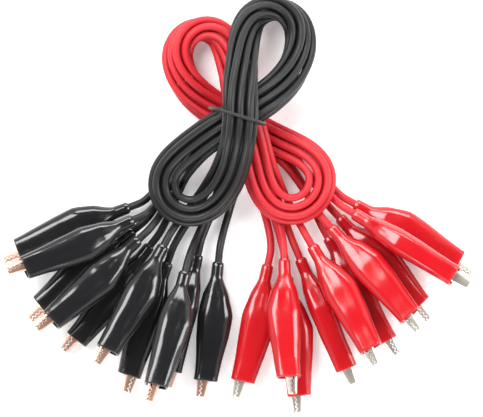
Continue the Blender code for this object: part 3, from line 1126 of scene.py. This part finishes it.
@dataclass
class Lead:
    """One cord from the sleeve of its first clip, through the hank, to its last.

    Args:
        team: Colour.
        number: Number of the lead, from 1.
        hank: The hank it lies in.
        slot: Its column and row there.
        first: Clip on its first end.
        last: Clip on its last end.
    """

    team: Team
    number: int
    hank: Hank
    slot: tuple[float, int]
    first: Clip
    last: Clip
    diameter: float = 2.6
    lap_steps: int = 132
    coarse_steps: int = 30
    tail_steps: int = 26
    tail_start: float = 1.35
    sleeve_run: float = 3.0
    inside: float = 2.9
    low_at: float = 0.62
    low_floor: float = 2.4
    low_upper: float = 5.8
    leave: float = 0.34
    arrive: float = 0.22
    upper_lift: float = 4.0
    sides: int = 18

    def _height(self, share: float, start: float, end: float, slopes: tuple[float, float]) -> float:
        """Height on a free end, lowest at a part of its way."""
        low = self.low_upper if self.slot[1] == 0 else self.low_floor
        if share < self.low_at:
            return curved(share / self.low_at, start, low, slopes[0] * self.low_at, 0.0)
        span = 1 - self.low_at
        return curved((share - self.low_at) / span, low, end, 0.0, slopes[1] * span)

    def _tail(self, leaving: Vector, heading: Vector, clip: Clip, size: ClipSize) -> list[Vector]:
        """Free end from the hank into its clip's sleeve, without its first point."""
        face, outward = clip.sleeve_end(size)
        end = face + outward * self.sleeve_run
        flat, out = (Vector((v.x, v.y)).normalized() for v in (heading, outward))
        start_xy, end_xy = leaving.to_2d(), end.to_2d()
        reach = (end_xy - start_xy).length
        second, third = start_xy + flat * self.leave * reach, end_xy + out * self.arrive * reach
        slope = heading.z / Vector((heading.x, heading.y)).length * 3 * self.leave * reach
        if self.slot[1] == 0:
            slope += self.upper_lift
        end_slope = -outward.z * 3 * self.arrive * reach
        points = []
        for k in range(1, self.tail_steps + 1):
            s = k / self.tail_steps
            xy = ((1 - s) ** 3 * start_xy + 3 * (1 - s) ** 2 * s * second
                  + 3 * (1 - s) * s * s * third + s ** 3 * end_xy)
            height = self._height(s, leaving.z, end.z, (slope, end_slope))
            points.append(Vector((xy.x, xy.y, height)))
        inner = face - outward * (self.inside + size.gap)
        run = (end - inner).length
        steps = 5
        return points + [end + (inner - end).normalized() * run * k / steps for k in range(1, steps + 1)]

    def route(self, size: ClipSize) -> list[Vector]:
        """All points of the cord in millimetres.

        Args:
            size: Sizes of the clips it ends in.

        Returns:
            The centreline from sleeve to sleeve.
        """
        begin = -self.tail_start
        lap, coarse = self.hank.lap, self.hank.lap / self.coarse_steps
        laps = (1.5 * lap + 2 * self.tail_start) / coarse
        end = begin + round(laps) * coarse
        count = round((end - begin) * self.lap_steps / lap)
        step = (end - begin) / count
        run = [self.hank.point(self.slot, begin + k * step) for k in range(count + 1)]
        nudge = 0.02
        leaving = (run[0] - self.hank.point(self.slot, begin + nudge)).normalized()
        arriving = (run[-1] - self.hank.point(self.slot, end - nudge)).normalized()
        first = self._tail(run[0], leaving, self.first, size)
        last = self._tail(run[-1], arriving, self.last, size)
        return first[::-1] + run + last

    def build(self, size: ClipSize, finish: bpy.types.Material) -> None:
        """Args:
            size: Sizes of the clips.
            finish: Material of the jacket.
        """
        points = self.route(size)
        name = f"{self.team.value}_lead_{self.number}"
        skin = Skin("cord_run")
        skin.tube(points, self.diameter / 2, self.sides)
        piece = stand(name, skin.mesh(name, 60), finish)
        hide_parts(f"{self.team.value}_cord_{self.number}")
        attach(piece, BODY_ROOT)
        length = sum((q - p).length for p, q in zip(points, points[1:]))
        tuple(points[0] * MM)
        self.diameter * MM
        [tuple(p * MM) for p in points]
        log.info("cord %s: %.0f mm", name, length)


@dataclass
class WireTie:
    """Coated wire closed round the black hank where it crosses itself."""

    thickness: float = 1.15
    centre: tuple[float, float] = (-0.2, 64.3)
    heading: float = -17.0
    bottom: float = 17.6
    top: float = 37.2
    half_bottom: float = 10.4
    half_top: float = 8.2
    square_side: float = 0.6
    square_top: float = 0.5
    steps: int = 144

    def build(self, finish: bpy.types.Material) -> None:
        """Make and dress the tie.

        Args:
            finish: Material of its coat.
        """
        turn = math.radians(self.heading)
        middle, half_height = (self.bottom + self.top) / 2, (self.top - self.bottom) / 2
        points = []
        for angle in turns_of(self.steps, 0.5):
            sideways = math.copysign(abs(math.cos(angle)) ** self.square_side, math.cos(angle))
            rise = math.copysign(abs(math.sin(angle)) ** self.square_top, math.sin(angle))
            half = self.half_bottom + (self.half_top - self.half_bottom) * (rise + 1) / 2
            points.append(Vector((self.centre[0] + half * sideways * math.cos(turn),
                                  self.centre[1] + half * sideways * math.sin(turn),
                                  middle + half_height * rise)))
        skin = Skin("cord_run")
        skin.tube(points, self.thickness / 2, 14, closed=True)
        piece = stand("tie_wire", skin.mesh("tie_wire", 60), finish)
        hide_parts("bundle_tie")
        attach(piece, BODY_ROOT)
        log.info("wire tie")


# ------------------------------------------------------------------ the bundle


@dataclass
class Bundle:
    """All leads and clips, with the places that they lie in."""

    kit: ClipKit = field(default_factory=ClipKit)
    pieced: tuple[int, ...] = (10, 1)
    slots: tuple[tuple[float, int], ...] = ((-1.0, -1), (0.0, -1), (1.0, -1), (0.5, 0), (1.5, 0))
    black_leads: tuple[tuple[int, int], ...] = ((10, 1), (9, 3), (7, 5), (8, 2), (6, 4))
    red_leads: tuple[tuple[int, int], ...] = ((1, 10), (3, 8), (4, 6), (2, 9), (5, 7))
    black_places: tuple[Place, ...] = (
        (-75.1, 18.8, 4.4, 201, 0, 180), (-72.4, 12.7, 16.9, 204, 9, 0),
        (-67.3, -0.2, 4.4, 219, 0, 180), (-63.2, -5.0, 16.9, 223, 9, 0),
        (-55.0, -11.8, 4.4, 232, 0, 0), (-44.1, -15.2, 16.7, 242, 9, 0),
        (-37.2, -23.9, 4.4, 251, 0, 180), (-27.5, -27.1, 22.3, 256, 12, 0),
        (-22.8, -22.4, 5.2, 257, 0, 90), (-10.9, -25.7, 4.4, 264, 0, 0),
    )
    red_places: tuple[Place, ...] = (
        (1.8, -26.0, 4.4, 258, 0, 0), (17.1, -24.3, 16.3, 272, 9, 180),
        (21.1, -30.8, 4.4, 276, 0, 0), (37.1, -21.6, 5.2, 293, 0, 90),
        (45.3, -14.5, 17.7, 300, 9, 0), (50.4, -12.4, 4.4, 299, 0, 180),
        (58.5, -3.3, 16.9, 312, 9, 0), (62.3, 0.2, 4.4, 313, 0, 0),
        (73.5, 10.0, 17.6, 328, 9, 90), (75.5, 14.8, 4.4, 331, 0, 0),
    )
    black_hank: Hank = Hank(guide=(
        (1.1, 65.8, 32.0), (0.7, 73.3, 31.3), (1.4, 82.3, 26.0), (2.0, 90.8, 18.2),
        (4.4, 98.6, 11.6), (12.0, 102.1, 8.2), (19.6, 98.6, 7.6), (22.0, 90.8, 7.6),
        (20.4, 82.8, 10.8), (15.9, 75.3, 17.0), (8.6, 69.3, 22.4), (0.7, 64.3, 23.3),
        (-7.1, 59.8, 21.9), (-14.1, 54.8, 17.0), (-20.6, 49.8, 13.2), (-25.3, 43.8, 11.4),
        (-24.0, 35.3, 11.0), (-16.1, 31.6, 11.2), (-8.1, 35.3, 13.4), (-3.2, 42.8, 19.0),
        (-0.9, 50.3, 27.3), (0.4, 57.8, 31.5),
    ), side=1)
    red_hank: Hank = Hank(guide=(
        (2.8, 63.0, 12.7), (0.7, 70.5, 12.7), (-1.0, 78.0, 11.6), (-2.6, 85.5, 9.2),
        (-5.4, 92.3, 7.6), (-11.8, 95.0, 6.9), (-18.3, 92.3, 6.6), (-21.4, 85.5, 6.2),
        (-19.3, 78.0, 6.2), (-14.6, 71.9, 5.2), (-8.4, 67.1, 4.3), (0.1, 62.4, 4.15),
        (8.2, 58.3, 4.2), (15.7, 54.5, 5.4), (23.2, 51.1, 8.4), (28.3, 45.1, 10.6),
        (26.6, 36.6, 11.2), (19.4, 32.5, 11.0), (12.6, 34.5, 10.6), (8.6, 40.7, 10.8),
        (6.9, 47.8, 12.2), (5.2, 55.2, 13.3),
    ), side=-1)

    def __post_init__(self) -> None:
        """Name the clips and pair them with their cords."""
        self.clips = {
            Team.BLACK: [Clip(Team.BLACK, n, place, pieced=n in self.pieced)
                         for n, place in enumerate(self.black_places, start=1)],
            Team.RED: [Clip(Team.RED, n, place) for n, place in enumerate(self.red_places, start=1)],
        }
        self.leads = []
        for team, hank, pairs in ((Team.BLACK, self.black_hank, self.black_leads),
                                  (Team.RED, self.red_hank, self.red_leads)):
            clips = self.clips[team]
            for number, (slot, (first, last)) in enumerate(zip(self.slots, pairs), start=1):
                self.leads.append(Lead(team, number, hank, slot, clips[first - 1], clips[last - 1]))

    def build_cords(self, jackets: dict[Team, bpy.types.Material]) -> None:
        """Make all ten cords.

        Args:
            jackets: Jacket material of each colour.
        """
        for lead in self.leads:
            lead.build(self.kit.size, jackets[lead.team])

    def build_clips(self, finishes: dict[Team, ClipFinishes]) -> None:
        """Make all twenty clips.

        Args:
            finishes: Materials of each colour's clips.
        """
        for team, clips in self.clips.items():
            for clip in clips:
                clip.build(self.kit, finishes[team])


# ------------------------------------------------------------------ studio


@dataclass(frozen=True)
class SoftLight:
    """Soft rectangular lamp that looks at the bundle.

    Args:
        name: Lamp name.
        place: Where it hangs, in metres.
        width: Width in metres.
        height: Height in metres.
        watts: Power.
    """

    name: str
    place: Point
    width: float
    height: float
    watts: float

    def build(self, aim: Vector) -> None:
        """Hang the lamp and turn it to the aim."""
        data = bpy.data.lights.new(self.name, "AREA")
        data.shape, data.size, data.size_y, data.energy = "RECTANGLE", self.width, self.height, self.watts
        lamp = bpy.data.objects.new(self.name, data)
        bpy.context.scene.collection.objects.link(lamp)
        lamp.location = self.place
        lamp.rotation_euler = (aim - Vector(self.place)).to_track_quat("-Z", "Y").to_euler()


@dataclass
class Studio:
    """Pale sweep, soft lamps and the camera that looks straight down."""

    middle: Point = (0.00125, 0.0330, 0.010)
    view_width: float = 0.1642
    lens: float = 400.0
    sensor: float = 36.0
    floor_size: float = 3.0
    ambient: float = 0.95
    zenith: float = 0.10
    opening_edge: float = 0.55
    opening_rim: float = 0.80
    lamps: tuple[SoftLight, ...] = (
        SoftLight("lamp_left", (-0.42, 0.38, 0.80), 0.46, 0.56, 8.5),
        SoftLight("lamp_right", (0.62, 0.12, 0.55), 0.25, 0.60, 4.5),
        SoftLight("lamp_back", (0.10, 0.75, 0.50), 0.60, 0.25, 4.5),
        SoftLight("lamp_front", (-0.05, -0.70, 0.60), 0.60, 0.20, 5.0),
    )

    def build_camera(self) -> None:
        """Hang the camera over the bundle."""
        data = bpy.data.cameras.new("camera")
        data.lens, data.sensor_width = self.lens, self.sensor
        camera = bpy.data.objects.new("camera", data)
        bpy.context.scene.collection.objects.link(camera)
        distance = self.view_width * self.lens / self.sensor
        camera.location = Vector(self.middle) + Vector((0, 0, distance))
        data.clip_start, data.clip_end = 0.01, 10.0
        bpy.context.scene.camera = camera
        log.info("camera %.0f mm above the bundle", distance / MM)

    def _fill_air(self, tree: bpy.types.NodeTree) -> None:
        """Ambient light: a bright tent with a dark opening overhead."""
        air = tree.nodes["Background"]
        direction = tree.nodes.new("ShaderNodeTexCoord")
        parts = tree.nodes.new("ShaderNodeSeparateXYZ")
        ramp = tree.nodes.new("ShaderNodeValToRGB")
        stops = ((self.opening_edge, self.ambient), (self.opening_rim, self.zenith))
        for element, (position, grey) in zip(ramp.color_ramp.elements, stops):
            element.position, element.color = position, (grey, grey, grey, 1.0)
        tree.links.new(direction.outputs["Generated"], parts.inputs["Vector"])
        tree.links.new(parts.outputs["Z"], ramp.inputs["Fac"])
        tree.links.new(ramp.outputs["Color"], air.inputs["Color"])

    def build(self) -> None:
        """Lay the floor, hang the lamps and set the ambient light."""
        half = self.floor_size / 2
        mesh = bpy.data.meshes.new("floor")
        corners = [(-half, -half, 0), (half, -half, 0), (half, half, 0), (-half, half, 0)]
        mesh.from_pydata(corners, [], [(0, 1, 2, 3)])
        floor = stand("floor", mesh, PalePaper("floor_paper", (0.93, 0.93, 0.93)).make())
        for lamp in self.lamps:
            lamp.build(Vector(self.middle))
        world = bpy.data.worlds.new("studio_air")
        world.use_nodes = True
        self._fill_air(world.node_tree)
        bpy.context.scene.world = world
        bpy.context.scene.view_settings.view_transform = "Standard"
        log.info("floor and %d lamps", len(self.lamps))


def clip_finishes() -> dict[Team, ClipFinishes]:
    """Materials of the clips.

    Returns:
        The finishes of each colour.
    """
    rivet = DrawnMetal("rivet_steel", (0.62, 0.62, 0.64), (0.32, 0.30, 0.28), 0.28, 0.3).make()
    spring = DrawnMetal("spring_steel", (0.50, 0.50, 0.52), (0.24, 0.22, 0.20), 0.32, 1.2).make()
    copper = DrawnMetal("copper_strand", (0.86, 0.42, 0.24), (0.42, 0.18, 0.10), 0.25, 0.8).make()
    black = DippedVinyl("black_boot_vinyl", (0.006, 0.006, 0.007), (0.018, 0.017, 0.018), 0.13, 0.35)
    red = DippedVinyl("red_boot_vinyl", (0.42, 0.003, 0.007), (0.52, 0.012, 0.018), 0.16, 0.30)
    # The second colour of each plate is a painted highlight, mixed into the plating at random blotches.
    coppered = StampedPlate("coppered_plate", (0.62, 0.33, 0.23), (0.90, 0.60, 0.46),
                            (0.58, 0.36, 0.27), 0.27)
    nickel = StampedPlate("nickel_plate", (0.70, 0.63, 0.55), (0.94, 0.89, 0.82),
                          (0.55, 0.46, 0.39), 0.28)
    return {
        Team.BLACK: ClipFinishes(black.make(), coppered.make(), rivet, spring, copper,
                                 "black_vinyl", "coppered_jaw"),
        Team.RED: ClipFinishes(red.make(), nickel.make(), rivet, spring, copper,
                               "red_vinyl", "nickel_jaw"),
    }


def main() -> None:
    """Build the camera, the cords, the tie, the clips and the studio, in that order."""
    logging.basicConfig(level=logging.INFO, format="%(message)s")
    studio = Studio()
    studio.build_camera()
    bundle = Bundle()
    jackets = {
        Team.BLACK: CordVinyl("black_jacket", (0.007, 0.007, 0.008), (0.016, 0.016, 0.017), 0.33).make(),
        Team.RED: CordVinyl("red_jacket", (0.48, 0.008, 0.016), (0.60, 0.026, 0.036), 0.38).make(),
    }
    bundle.build_cords(jackets)
    tie_coat = CordVinyl("tie_coat", (0.010, 0.010, 0.010), (0.030, 0.030, 0.030), 0.34)
    WireTie().build(tie_coat.make())
    bundle.build_clips(clip_finishes())
    studio.build()


if __name__ == "__main__":
    main()
